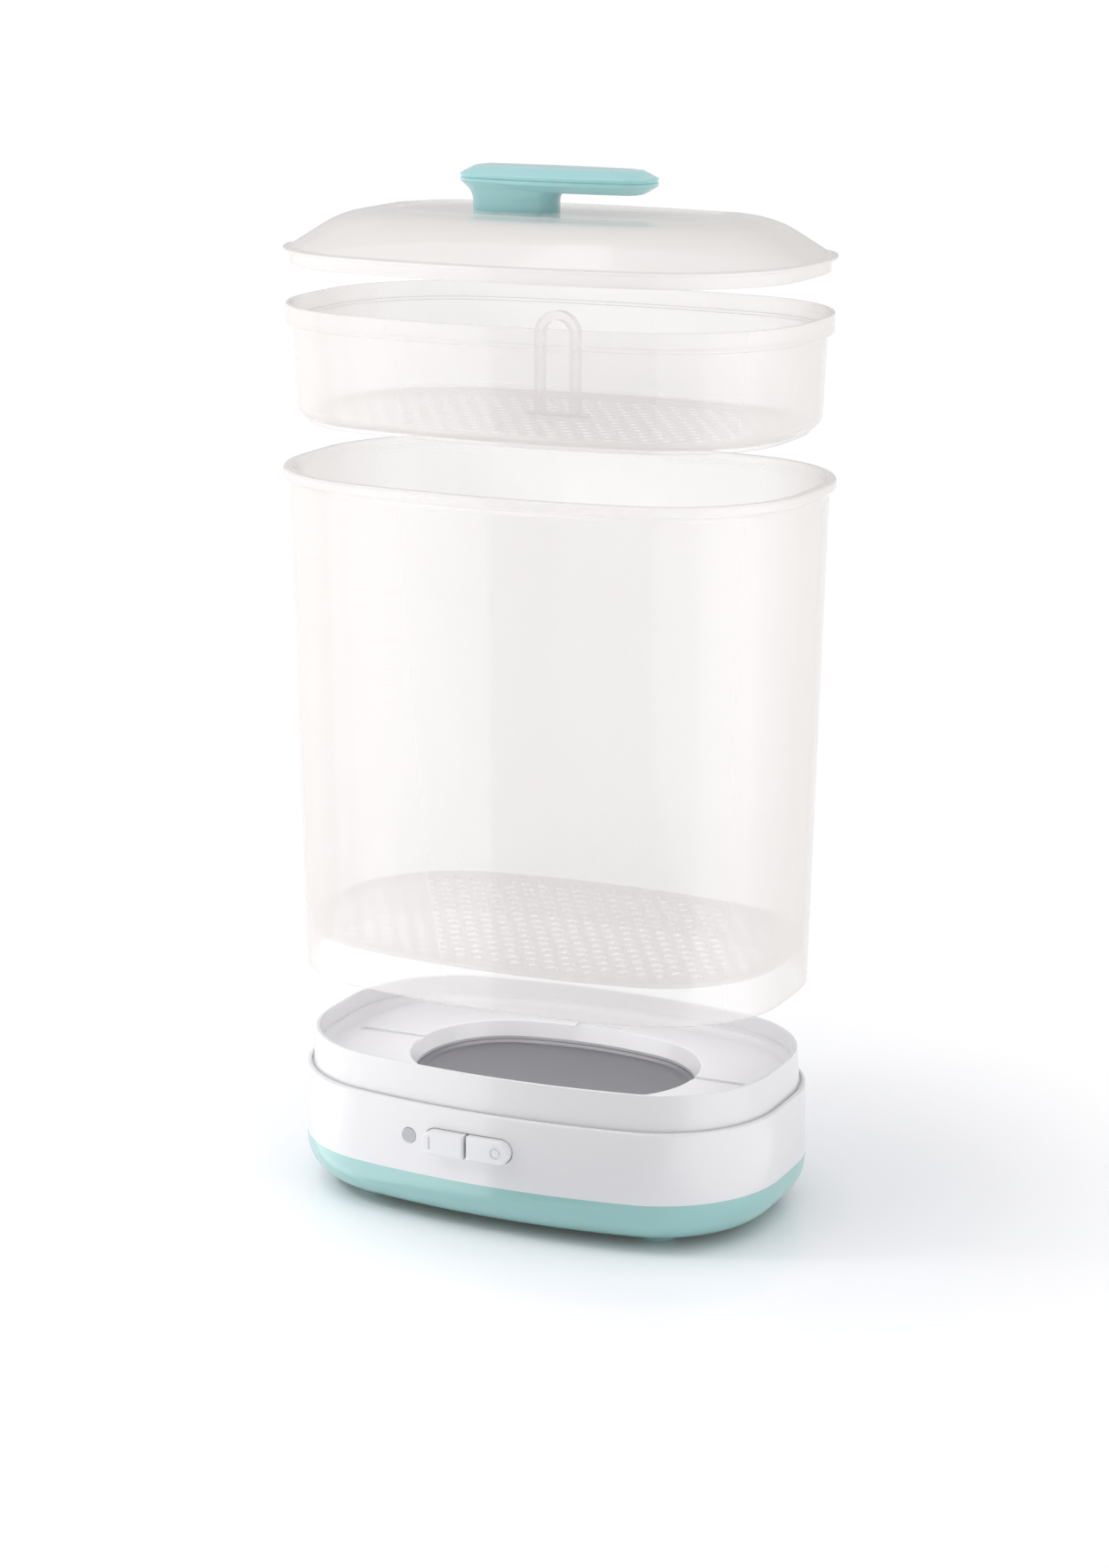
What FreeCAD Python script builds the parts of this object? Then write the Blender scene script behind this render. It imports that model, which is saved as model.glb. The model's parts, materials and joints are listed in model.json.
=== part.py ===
import FreeCAD, Part
import math
import os

Vector = FreeCAD.Vector
UP = Vector(0, 0, 1)
BACK = Vector(0, 1, 0)

# A modular electric steam sterilizer for baby bottles, with its tiers lifted apart.
# Millimetres, +Z up, origin on the floor under the centre of the base, front towards -Y.

# Plan shape: the outer line of the large basket's rim, an oval of eight tangent arcs.
# Every wall follows it at an inset, which is measured inwards from that line.
rim_half_length = 145.0
rim_half_width = 97.0
side_radius = 450.0
corner_radius = 78.0
end_radius = 740.0

# Clearances shared by the tiers.
seat_gap = 0.4
ledge_margin = 0.3
edge_round = 0.6

# Length of a cut that passes right through a wall, and the closeness that counts as touching.
wall_cut = 10.0
tolerance = 0.01

# Base: feet, tub, housing, collar and sunk deck.
foot_height = 4.5
foot_radius = 9.5
foot_across = 82.0
foot_along = 48.0
foot_plug_radius = 4.0
foot_plug_length = 1.5
tub_height = 24.0
tub_round = 21.0
shell_wall = 2.5
lip_height = 3.0
lip_wall = 1.2
lip_gap = 0.2
housing_height = 39.0
housing_draft = 0.6
housing_round = 1.2
groove_width = 1.2
groove_depth = 1.6
collar_height = 19.3
collar_draft = 1.6
collar_wall = 2.0
collar_step_down = 9.0
collar_step_width = 1.2
deck_depth = 14.0
deck_cove = 4.0

# Well in the deck, with the heating plate clamped under it.
well_half_length = 81.0
well_half_width = 57.0
well_side_radius = 175.0
well_corner_radius = 52.0
well_end_radius = 112.0
well_depth = 10.0
well_taper = 3.0
well_wall = 2.2
well_round = 1.2
flange_width = 11.0
flange_thickness = 2.2
plate_thickness = 2.0
plate_dish = 1.5
plate_rim = 4.0
plate_flat_inset = 12.0
gasket_thickness = 1.5
clamp_thickness = 2.5
plate_screw_radius = 1.4
plate_screw_head = 2.6
plate_screw_head_height = 1.8
plate_screw_boss = 3.0
channel_width = 6.0
channel_depth = 1.2
channel_end_gap = 12.0
notch_width = 26.0
notch_depth = 1.0
notch_reach = 5.0

# Large basket.
basket_lift = 57.4
basket_height = 270.2
basket_wall = 2.2
basket_wall_inset = 3.5
basket_taper = 6.0
basket_foot_gap = 0.7
basket_floor_height = 20.5
basket_floor_thickness = 2.4
bead_height = 4.5
bead_slope = 3.0

# Small basket, with the lifting loop in its middle.
small_lift = 74.8
small_height = 59.2
small_wall = 2.0
small_taper = 2.0
small_band_height = 10.4
small_band_inset = 2.6
small_bottom_round = 7.0
small_plug_drop = 2.0
small_plug_inset = 6.0
loop_width = 25.0
loop_bar = 4.8
loop_thickness = 5.0
loop_below_rim = 2.7
loop_foot_width = 8.0
loop_foot_thickness = 1.6

# Lid.
lid_lift = 27.2
lid_wall = 2.2
lid_flange_inset = 1.7
lid_flange_thickness = 1.4
lid_skirt_height = 6.5
dome_foot_inset = 5.5
dome_foot_rise = 0.8
dome_knee_inset = 33.0
dome_knee_rise = 18.0
dome_round = 52.0
plateau_inset = 58.0
plateau_rise = 19.9
plateau_recess = 1.2
plateau_rim = 2.5

# Handle on the lid: a stalk and a cantilevered grip in two halves.
stalk_half_length = 23.5
stalk_half_width = 11.0
stalk_side_radius = 110.0
stalk_corner_radius = 8.0
stalk_end_radius = 14.0
stalk_shift = -23.8
stalk_height = 10.6
stalk_flare = 6.2
stalk_flare_round = 9.0
stalk_flare_drop = 1.0
grip_half_length = 54.0
grip_half_width = 19.0
grip_side_radius = 260.0
grip_corner_radius = 15.0
grip_end_radius = 24.0
grip_lower = 6.4
grip_upper = 6.6
grip_bevel = 7.5
grip_bevel_round = 6.5
grip_edge = 2.0
grip_edge_round = 0.8
grip_crown = 0.7
grip_crown_inset = 13.5
grip_seam = 0.6
handle_screw_spacing = 24.0
handle_screw_length = 14.0

# Round holes in the two basket floors.
hole_radius = 3.3
hole_pitch = 10.5
hole_margin = 9.0

# Push keys in a pill-shaped opening, and the indicator beside them.
control_height = 49.0
pill_length = 51.0
pill_height = 13.0
pill_centre = -9.7
key_gap = 1.6
key_proud = 4.5
key_clearance = 0.4
key_flange_thickness = 2.0
key_flange_overlap = 1.6
key_travel = 2.0
key_round = 1.2
mark_depth = 0.6
mark_line_width = 1.2
mark_line_height = 6.5
mark_line_inset = 5.0
mark_ring_radius = 3.1
mark_ring_width = 1.1
mark_ring_inset = 7.5
plunger_radius = 1.5
plunger_clearance = 0.05
plunger_engagement = 3.0
indicator_centre = -45.2
indicator_radius = 4.1
indicator_proud = 0.5
indicator_flange_overlap = 1.5
indicator_flange_thickness = 1.5

# Circuit board behind the keys.
board_length = 96.0
board_height = 26.0
board_thickness = 1.6
board_post_radius = 3.0
board_post_spacing = 86.0
board_post_drop = 9.0
board_screw_radius = 1.1
board_screw_head = 2.2
board_screw_length = 6.0
switch_length = 12.0
switch_height = 9.0
switch_depth = 8.0
lamp_radius = 2.5
lamp_length = 7.0

# Heater parts under the plate.
element_radius = 3.4
element_inset = 16.0
element_gap = 26.0
terminal_radius = 2.0
terminal_length = 16.0
thermostat_radius = 8.0
thermostat_height = 9.0
thermostat_ear_length = 30.0
thermostat_ear_width = 8.0
thermostat_ear_thickness = 1.2
fuse_radius = 2.2
fuse_length = 16.0
fuse_across = 32.0
strap_width = 6.0
strap_wall = 1.0
strap_foot = 4.0

# Mains connections and internal leads.
block_length = 30.0
block_width = 16.0
block_height = 12.0
block_across = 22.0
block_along = 40.0
block_hole_radius = 2.4
lead_radius = 1.2
lead_step = 4.0
lead_bend = 2.0
gland_height = 42.0
gland_radius = 7.0
gland_bore_radius = 3.4
gland_flange_radius = 9.5
gland_flange_thickness = 2.0
gland_length = 15.0
gland_nut_radius = 10.0
gland_nut_thickness = 4.0
gland_clearance = 0.1
gland_nut_gap = 0.4

# Screws that hold the housing to the tub.
boss_radius = 4.5
boss_across = 100.0
boss_along = 28.0
boss_height = 9.0
screw_radius = 1.5
screw_clearance = 0.3
screw_head_radius = 3.0
screw_head_height = 2.2
screw_recess = 3.0
screw_length = 16.0
screw_grip = 10.0

# Levels.
tub_bottom = foot_height
tub_floor = tub_bottom + shell_wall
split_level = tub_bottom + tub_height
ledge_level = split_level + housing_height
ledge_underside = ledge_level - groove_depth - shell_wall
collar_top = ledge_level + collar_height
deck_level = collar_top - deck_depth
deck_underside = deck_level - shell_wall
plate_level = deck_level - well_depth
flange_level = plate_level + gasket_thickness
plate_underside = plate_level - plate_dish - plate_thickness
basket_bottom = ledge_level + basket_lift
basket_rim = basket_bottom + basket_height
basket_floor = basket_bottom + basket_floor_height
small_band = basket_rim + small_lift
small_rim = small_band + small_band_height
small_bottom = small_rim - small_height
small_floor_top = small_bottom + small_wall
lid_level = small_rim + lid_lift
lid_top = lid_level + lid_flange_thickness
plateau_level = lid_top + plateau_rise
handle_level = plateau_level - plateau_recess
plateau_underside = handle_level - lid_wall
grip_level = handle_level + stalk_height
seam_level = grip_level + grip_lower
handle_top = seam_level + grip_upper

# Insets.
basket_foot_inset = basket_wall_inset + basket_taper
basket_rim_inner = basket_wall_inset + basket_wall
housing_inset = basket_foot_inset - ledge_margin
split_inset = housing_inset - housing_draft
collar_foot_inset = basket_foot_inset + basket_wall + basket_foot_gap
collar_top_inset = collar_foot_inset + collar_draft
collar_inner = collar_top_inset + collar_wall
deck_inset = collar_inner + collar_step_width
tub_inner = split_inset + shell_wall + lip_gap + lip_wall
small_wall_inset = basket_rim_inner + seat_gap
small_foot_inset = small_wall_inset + small_taper
small_plug = small_foot_inset + small_plug_inset
small_floor_inset = small_plug + small_wall
small_rim_inner = small_band_inset + small_wall
lid_skirt_inset = small_rim_inner + seat_gap


def plan_arcs(half_length, half_width, side, corner, end):
    side_centre = Vector(0, half_width - side, 0)
    end_centre = Vector(half_length - end, 0, 0)
    spread = end_centre - side_centre
    to_side = side - corner
    to_end = end - corner
    along = (to_side ** 2 - to_end ** 2 + spread.Length ** 2) / (2 * spread.Length)
    across = math.sqrt(to_side ** 2 - along ** 2)
    unit = Vector(spread).normalize()
    corner_centre = side_centre + unit * along + Vector(unit.y, -unit.x, 0) * across
    low = math.atan2(corner_centre.y, corner_centre.x - end_centre.x)
    high = math.atan2(corner_centre.y - side_centre.y, corner_centre.x)
    arcs = []
    for turn in (0, 1):
        flip = 1 - 2 * turn
        start = math.pi * turn
        mirrored = Vector(-corner_centre.x, corner_centre.y, 0)
        arcs.append((end_centre * flip, end, start - low, 2 * low))
        arcs.append((corner_centre * flip, corner, start + low, high - low))
        arcs.append((side_centre * flip, side, start + high, math.pi - 2 * high))
        arcs.append((mirrored * flip, corner, start + math.pi - high, high - low))
    return arcs


def moved(arcs, offset):
    return [(centre + offset, radius, start, sweep) for centre, radius, start, sweep in arcs]


def outline(arcs, inset, level):
    edges = []
    for centre, radius, start, sweep in arcs:
        circle = Part.Circle(centre + UP * level, UP, radius - inset)
        edges.append(Part.ArcOfCircle(circle, start, start + sweep).toShape())
    return Part.Wire(edges)


def profile_edges(points, closed):
    corners = [Vector(-point[0], 0, point[1]) for point in points]
    radii = [point[2] if len(point) > 2 else 0.0 for point in points]
    entries = []
    edges = []
    for i, here in enumerate(corners):
        if radii[i] == 0.0:
            entries.append((here, here, None))
            continue
        back = (corners[i - 1] - here).normalize()
        ahead = (corners[(i + 1) % len(corners)] - here).normalize()
        half = back.getAngle(ahead) / 2
        reach = radii[i] / math.tan(half)
        middle = (back + ahead).normalize() * (radii[i] / math.sin(half) - radii[i])
        arc = Part.Arc(here + back * reach, here + middle, here + ahead * reach)
        entries.append((here + back * reach, here + ahead * reach, arc.toShape()))
    for i, (entry, leave, arc) in enumerate(entries):
        if arc:
            edges.append(arc)
        if closed or i + 1 < len(entries):
            following = entries[(i + 1) % len(entries)][0]
            if (following - leave).Length > 1e-6:
                edges.append(Part.makeLine(leave, following))
    return edges


def solid_of(faces):
    skin = Part.makeCompound(faces)
    skin.sewShape()
    solid = Part.makeSolid(skin.Shells[0])
    if solid.Volume < 0:
        solid.reverse()
    return solid


def swept(arcs, points, closed=False):
    """Carries a profile of (inset, level, rounding) corners round an oval of arcs."""
    faces = []
    for edge in profile_edges(points, closed):
        for centre, radius, start, sweep in arcs:
            strand = edge.copy()
            strand.translate(Vector(radius, 0, 0))
            strand.rotate(Vector(), UP, math.degrees(start))
            strand.translate(centre)
            faces.append(strand.revolve(centre, UP, math.degrees(sweep)))
    if not closed:
        for end in (points[0], points[-1]):
            faces.append(Part.Face(outline(arcs, end[0], end[1])))
    return solid_of(faces)


def rod(radius, length, place, along=UP):
    return Part.makeCylinder(radius, length, place, along)


def slab(size_x, size_y, size_z, centre_x, centre_y, bottom):
    return Part.makeBox(size_x, size_y, size_z, Vector(centre_x - size_x / 2, centre_y - size_y / 2, bottom))


def tube(points, radius, bend):
    corners = [Vector(*point) for point in points]
    edges = []
    last = corners[0]
    for before, here, after in zip(corners, corners[1:], corners[2:]):
        back = (before - here).normalize()
        ahead = (after - here).normalize()
        half = back.getAngle(ahead) / 2
        reach = bend / math.tan(half)
        middle = here + (back + ahead).normalize() * (bend / math.sin(half) - bend)
        edges.append(Part.makeLine(last, here + back * reach))
        edges.append(Part.Arc(here + back * reach, middle, here + ahead * reach).toShape())
        last = here + ahead * reach
    edges.append(Part.makeLine(last, corners[-1]))
    start = Part.Wire(Part.makeCircle(radius, corners[0], corners[1] - corners[0]))
    return Part.Wire(edges).makePipeShell([start], True, True)


def arc_middles(arcs, inset):
    places = []
    for centre, radius, start, sweep in arcs:
        angle = start + sweep / 2
        places.append(centre + Vector(math.cos(angle), math.sin(angle), 0) * (radius - inset))
    return places


def four_corners(across, along):
    return [Vector(x, y, 0) for x in (-across, across) for y in (-along, along)]


def wall_y(across, inset):
    centre = side_radius - rim_half_width
    return centre - math.sqrt((side_radius - inset) ** 2 - across ** 2)


def housing_wall_inset(level):
    return housing_inset - housing_draft * (ledge_level - level) / housing_height


def union(first, others):
    return first.fuse(others).removeSplitter()


rim_arcs = plan_arcs(rim_half_length, rim_half_width, side_radius, corner_radius, end_radius)
well_arcs = plan_arcs(
    well_half_length, well_half_width, well_side_radius, well_corner_radius, well_end_radius)
grip_arcs = plan_arcs(
    grip_half_length, grip_half_width, grip_side_radius, grip_corner_radius, grip_end_radius)
stalk_plan = plan_arcs(
    stalk_half_length, stalk_half_width, stalk_side_radius, stalk_corner_radius, stalk_end_radius)
stalk_arcs = moved(stalk_plan, Vector(stalk_shift, 0, 0))

# Where the control parts lie, from the front wall inwards.
control_inset = housing_wall_inset(control_height)
key_face_y = wall_y(pill_centre, control_inset) - key_proud
flange_reach = abs(pill_centre) + pill_length / 2 + key_flange_overlap
key_flange_y = wall_y(flange_reach, control_inset + shell_wall) + key_clearance
key_back_y = key_flange_y + key_flange_thickness
switch_y = key_back_y + key_travel + key_clearance
board_y = switch_y + switch_depth
key_side = (pill_length + key_gap) / 4
key_places = (pill_centre - key_side, pill_centre + key_side)
board_post_places = (pill_centre - board_post_spacing / 2, pill_centre + board_post_spacing / 2)
post_level = control_height - board_post_drop
gland_wall_y = rim_half_width - housing_wall_inset(gland_height - gland_flange_radius)
plate_screw_places = arc_middles(well_arcs, -(plate_rim + flange_width) / 2)
handle_screw_places = (stalk_shift - handle_screw_spacing / 2, stalk_shift + handle_screw_spacing / 2)
element_level = plate_underside - element_radius
boss_top = tub_floor + boss_height


def pill(grow, front, back):
    radius = pill_height / 2 + grow
    reach = pill_length / 2 - pill_height / 2
    corner = Vector(pill_centre - reach, front, control_height - radius)
    body = Part.makeBox(2 * reach, back - front, 2 * radius, corner)
    ends = [rod(radius, back - front, Vector(x, front, control_height), BACK)
            for x in (pill_centre - reach, pill_centre + reach)]
    return union(body, ends)


def well_funnel():
    upper = flange_level + flange_thickness
    return swept(well_arcs, [
        (0, deck_level, well_round),
        (well_taper, flange_level),
        (-flange_width, flange_level),
        (-flange_width, upper),
        (-well_wall, upper),
        (-well_wall, deck_level),
    ], closed=True)


def deck_channels(shell):
    inner = well_half_length - well_taper
    outer = rim_half_length - deck_inset - channel_end_gap
    bottom = deck_level - channel_depth
    for side in (-1, 1):
        run = slab(outer - inner, channel_width, channel_depth, side * (outer + inner) / 2, 0, bottom)
        end = rod(channel_width / 2, channel_depth, Vector(side * outer, 0, bottom))
        shell = shell.cut(union(run, [end]))
    return shell


def upper_housing():
    deck_cap = deck_inset + 2 * deck_cove
    shell = swept(rim_arcs, [
        (deck_cap, deck_level),
        (deck_inset, deck_level, deck_cove),
        (deck_inset, collar_top - collar_step_down),
        (collar_inner, collar_top - collar_step_down),
        (collar_inner, collar_top, edge_round),
        (collar_top_inset, collar_top, edge_round),
        (collar_foot_inset, ledge_level - groove_depth),
        (collar_foot_inset - groove_width, ledge_level - groove_depth),
        (collar_foot_inset - groove_width, ledge_level),
        (housing_inset, ledge_level, housing_round),
        (split_inset, split_level),
        (split_inset + shell_wall, split_level),
        (housing_inset + shell_wall, ledge_underside),
        (deck_inset + collar_step_width, ledge_underside),
        (deck_inset + collar_step_width, deck_underside),
        (deck_cap, deck_underside),
    ])
    opening = Part.Face(outline(well_arcs, -well_wall, deck_underside))
    opening = opening.extrude(UP * (shell_wall + deck_cove))
    corners = four_corners(boss_across, boss_along)
    bosses = [rod(boss_radius, deck_level - boss_top - shell_wall / 2, place + UP * boss_top)
              for place in corners]
    top = flange_level + flange_thickness / 2
    bosses += [rod(plate_screw_boss, deck_level - shell_wall / 2 - top, place + UP * top)
               for place in plate_screw_places]
    post_y = wall_y(board_post_spacing / 2, control_inset + shell_wall / 2)
    bosses += [rod(board_post_radius, board_y - post_y, Vector(x, post_y, post_level), BACK)
               for x in board_post_places]
    shell = union(shell.cut(opening), [well_funnel()] + bosses)
    holes = [rod(screw_radius, screw_grip, place + UP * boss_top) for place in corners]
    holes += [rod(plate_screw_radius, deck_underside - flange_level, place + UP * flange_level)
              for place in plate_screw_places]
    screw_y = board_y - board_screw_length
    holes += [rod(board_screw_radius, board_screw_length, Vector(x, screw_y, post_level), BACK)
              for x in board_post_places]
    holes.append(pill(key_clearance, key_face_y, key_flange_y))
    holes.append(rod(indicator_radius + key_clearance / 2, wall_cut,
                     Vector(indicator_centre, key_face_y, control_height), BACK))
    holes.append(rod(gland_radius + gland_clearance, wall_cut,
                     Vector(0, gland_wall_y - wall_cut / 2, gland_height), BACK))
    notch_y = well_half_width - well_taper
    holes.append(slab(notch_width, well_taper + notch_reach, notch_depth,
                      0, notch_y + (well_taper + notch_reach) / 2, deck_level - notch_depth))
    return deck_channels(shell.cut(holes))


def lower_housing():
    floor_inset = tub_inner + tub_round
    inner_round = tub_round - (tub_inner - split_inset)
    shell = swept(rim_arcs, [
        (floor_inset, tub_bottom),
        (split_inset, tub_bottom, tub_round),
        (split_inset, split_level),
        (tub_inner - lip_wall, split_level),
        (tub_inner - lip_wall, split_level + lip_height),
        (tub_inner, split_level + lip_height),
        (tub_inner, tub_floor, inner_round),
        (floor_inset, tub_floor),
    ])
    places = four_corners(boss_across, boss_along)
    shell = union(shell, [rod(boss_radius, boss_top - tub_bottom, place + UP * tub_bottom)
                          for place in places])
    holes = [rod(screw_radius + screw_clearance, boss_height + shell_wall, place + UP * tub_bottom)
             for place in places]
    holes += [rod(screw_head_radius + screw_clearance, screw_recess, place + UP * tub_bottom)
              for place in places]
    holes += [rod(foot_plug_radius, foot_plug_length, place + UP * tub_bottom)
              for place in four_corners(foot_across, foot_along)]
    return shell.cut(holes)


def feet():
    pads = []
    for place in four_corners(foot_across, foot_along):
        pad = rod(foot_radius, foot_height, place)
        pad = pad.makeFillet(foot_height / 4, [pad.Edges[2]])
        plug = rod(foot_plug_radius, foot_plug_length, place + UP * foot_height)
        pads.append(union(pad, [plug]))
    return Part.makeCompound(pads)


def housing_screws():
    screws = []
    for place in four_corners(boss_across, boss_along):
        seat = tub_bottom + screw_recess
        head = rod(screw_head_radius, screw_head_height, place + UP * (seat - screw_head_height))
        shank = rod(screw_radius, screw_length, place + UP * seat)
        screws.append(union(head, [shank]))
    return Part.makeCompound(screws)


def heating_plate():
    dish = plate_level - plate_dish
    return swept(well_arcs, [
        (plate_flat_inset, dish),
        (well_taper + 2 * plate_dish, dish, plate_dish),
        (well_taper + plate_dish, plate_level),
        (-plate_rim, plate_level),
        (-plate_rim, plate_level - plate_thickness),
        (well_taper + plate_dish, plate_level - plate_thickness),
        (well_taper + 2 * plate_dish, plate_underside),
        (plate_flat_inset, plate_underside),
    ])


def plate_gasket():
    return swept(well_arcs, [
        (well_taper, plate_level),
        (well_taper, flange_level),
        (-plate_rim, flange_level),
        (-plate_rim, plate_level),
    ], closed=True)


def plate_clamp_ring():
    bottom = plate_level - plate_thickness
    ring = swept(well_arcs, [
        (well_taper / 2, bottom),
        (-plate_rim, bottom),
        (-plate_rim, flange_level),
        (-flange_width, flange_level),
        (-flange_width, bottom - clamp_thickness),
        (well_taper / 2, bottom - clamp_thickness),
    ], closed=True)
    depth = flange_level - bottom + clamp_thickness
    return ring.cut([rod(plate_screw_radius, depth, place + UP * (bottom - clamp_thickness))
                     for place in plate_screw_places])


def plate_screws():
    screws = []
    seat = plate_level - plate_thickness - clamp_thickness
    for place in plate_screw_places:
        head = rod(plate_screw_head, plate_screw_head_height, place + UP * (seat - plate_screw_head_height))
        shank = rod(plate_screw_radius, deck_underside - seat - shell_wall, place + UP * seat)
        screws.append(union(head, [shank]))
    return Part.makeCompound(screws)


def heating_element():
    near = element_inset - element_radius
    far = element_inset + element_radius
    low = element_level - element_radius
    high = element_level + element_radius
    corners = [(near, low), (near, high), (far, high), (far, low)]
    loop = swept(well_arcs, [corner + (element_radius,) for corner in corners], closed=True)
    loop = loop.cut(slab(element_gap, 2 * well_half_width, 4 * element_radius,
                         0, well_half_width, low - element_radius))
    reach = well_side_radius - element_inset
    across = element_gap / 2 + terminal_radius
    along = well_half_width - well_side_radius + math.sqrt(reach ** 2 - across ** 2)
    terminals = [rod(terminal_radius, terminal_length, Vector(x, along, element_level - terminal_length))
                 for x in (-across, across)]
    return union(loop, terminals)


def thermostat():
    can = rod(thermostat_radius, thermostat_height, UP * (plate_underside - thermostat_height))
    ears = slab(thermostat_ear_length, thermostat_ear_width, thermostat_ear_thickness,
                0, 0, plate_underside - thermostat_ear_thickness)
    return union(can, [ears])


def thermal_fuse():
    place = Vector(fuse_across - fuse_length / 2, 0, plate_underside - fuse_radius)
    return rod(fuse_radius, fuse_length, place, Vector(1, 0, 0))


def fuse_strap():
    outer = 2 * (fuse_radius + strap_wall)
    depth = 2 * fuse_radius
    arch = slab(strap_width, outer, depth + strap_wall, fuse_across, 0, plate_underside - depth - strap_wall)
    span = outer + 2 * strap_foot
    foot = slab(strap_width, span, strap_wall, fuse_across, 0, plate_underside - strap_wall)
    gap = slab(strap_width, depth, depth, fuse_across, 0, plate_underside - depth)
    return union(arch, [foot]).cut(gap)


def key(side):
    body = pill(0, key_face_y, key_flange_y)
    rim = pill(key_flange_overlap, key_flange_y, key_back_y)
    reach = pill_length
    edge = pill_centre + side * key_gap / 2
    low = min(edge, edge + side * reach)
    corner = Vector(low, key_face_y - key_travel, control_height - reach / 2)
    keep = Part.makeBox(reach, reach, reach, corner)
    cap = union(body, [rim]).common(keep)
    edges = [e for e in cap.Edges if e.BoundBox.YMax < key_face_y + tolerance]
    cap = cap.makeFillet(key_round, edges)
    if side < 0:
        line = pill_centre - pill_length / 2 + mark_line_inset
        bottom = control_height - mark_line_height / 2
        return cap.cut(slab(mark_line_width, 2 * mark_depth, mark_line_height, line, key_face_y, bottom))
    centre = Vector(pill_centre + pill_length / 2 - mark_ring_inset, key_face_y - mark_depth, control_height)
    ring = rod(mark_ring_radius, 2 * mark_depth, centre, BACK)
    return cap.cut(ring.cut(rod(mark_ring_radius - mark_ring_width, 2 * mark_depth, centre, BACK)))


def plunger(across):
    length = switch_y + plunger_engagement - key_back_y
    return rod(plunger_radius, length, Vector(across, key_back_y, control_height), BACK)


def key_switches():
    switches = []
    depth = plunger_engagement + key_travel + key_clearance
    for across in key_places:
        body = Part.makeBox(switch_length, switch_depth, switch_height,
                            Vector(across - switch_length / 2, switch_y, control_height - switch_height / 2))
        bore = rod(plunger_radius + plunger_clearance, depth, Vector(across, switch_y, control_height), BACK)
        switches.append(body.cut(bore))
    return Part.makeCompound(switches)


def circuit_board():
    board = Part.makeBox(board_length, board_thickness, board_height,
                         Vector(pill_centre - board_length / 2, board_y, control_height - board_height / 2))
    return board.cut([rod(board_screw_radius, board_thickness, Vector(x, board_y, post_level), BACK)
                      for x in board_post_places])


def board_screws():
    screws = []
    back = board_y + board_thickness
    for x in board_post_places:
        shank = rod(board_screw_radius, board_screw_length + board_thickness,
                    Vector(x, board_y - board_screw_length, post_level), BACK)
        head = rod(board_screw_head, board_thickness, Vector(x, back, post_level), BACK)
        screws.append(union(shank, [head]))
    return Part.makeCompound(screws)


def indicator_lens():
    face = wall_y(indicator_centre, control_inset) - indicator_proud
    reach = abs(indicator_centre) + indicator_radius + indicator_flange_overlap
    seat = wall_y(reach, control_inset + shell_wall) + key_clearance
    lens = rod(indicator_radius, seat - face, Vector(indicator_centre, face, control_height), BACK)
    flange = rod(indicator_radius + indicator_flange_overlap, indicator_flange_thickness,
                 Vector(indicator_centre, seat, control_height), BACK)
    return union(lens, [flange])


def indicator_lamp():
    tip = Vector(indicator_centre, board_y - lamp_length, control_height)
    barrel = rod(lamp_radius, lamp_length, tip, BACK)
    front = [edge for edge in barrel.Edges if edge.BoundBox.YMax < board_y - lamp_length / 2]
    return barrel.makeFillet(lamp_radius / 2, front)


def terminal_block():
    block = slab(block_length, block_width, block_height, block_across, block_along, tub_floor)
    holes = []
    for step in (-1, 0, 1):
        across = block_across + step * block_length / 3
        place = Vector(across, block_along - block_width / 4, tub_floor + block_height / 2)
        holes.append(rod(block_hole_radius, block_height / 2, place))
    return block.cut(holes)


def internal_leads():
    top = tub_floor + block_height
    back = block_along + block_width / 4
    tip = element_level - terminal_length
    across = element_gap / 2 + terminal_radius
    reach = well_side_radius - element_inset
    along = well_half_width - well_side_radius + math.sqrt(reach ** 2 - across ** 2)
    near = block_across - block_length / 3
    far = block_across + block_length / 3
    middle = (top + tip) / 2
    board_back = board_y + board_thickness
    routes = [
        [(near, back, top), (near, back, middle), (across, along, middle), (across, along, tip)],
        [(block_across, back, top), (block_across, back, middle + lead_step),
         (-across, along, middle + lead_step), (-across, along, tip)],
        [(far, back, top), (far, back, middle), (far, board_back + lead_step, middle),
         (far, board_back + lead_step, control_height), (far, board_back, control_height)],
    ]
    return Part.makeCompound([tube(route, lead_radius, lead_bend) for route in routes])


def cord_gland():
    outside = gland_wall_y + gland_clearance
    barrel = rod(gland_radius, gland_length, Vector(0, outside - gland_length, gland_height), BACK)
    flange = rod(gland_flange_radius, gland_flange_thickness, Vector(0, outside, gland_height), BACK)
    flange = flange.makeFillet(gland_flange_thickness / 2, [flange.Edges[0]])
    bore = rod(gland_bore_radius, 2 * gland_length, Vector(0, outside - gland_length, gland_height), BACK)
    return union(barrel, [flange]).cut(bore)


def gland_nut():
    front = gland_wall_y - shell_wall - gland_nut_gap
    place = Vector(0, front - gland_nut_thickness, gland_height)
    nut = rod(gland_nut_radius, gland_nut_thickness, place, BACK)
    return nut.cut(rod(gland_radius, gland_nut_thickness, place, BACK))


def basket_inner_inset(level):
    share = (basket_rim - level) / basket_height
    return basket_rim_inner + basket_taper * share


def large_basket():
    bead_foot = basket_rim - bead_height
    return swept(rim_arcs, [
        (basket_foot_inset, basket_bottom, edge_round),
        (basket_wall_inset, bead_foot - bead_slope),
        (0, bead_foot, edge_round),
        (0, basket_rim, 2 * edge_round),
        (basket_rim_inner, basket_rim, 2 * edge_round),
        (basket_foot_inset + basket_wall, basket_bottom, edge_round),
    ], closed=True)


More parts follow.
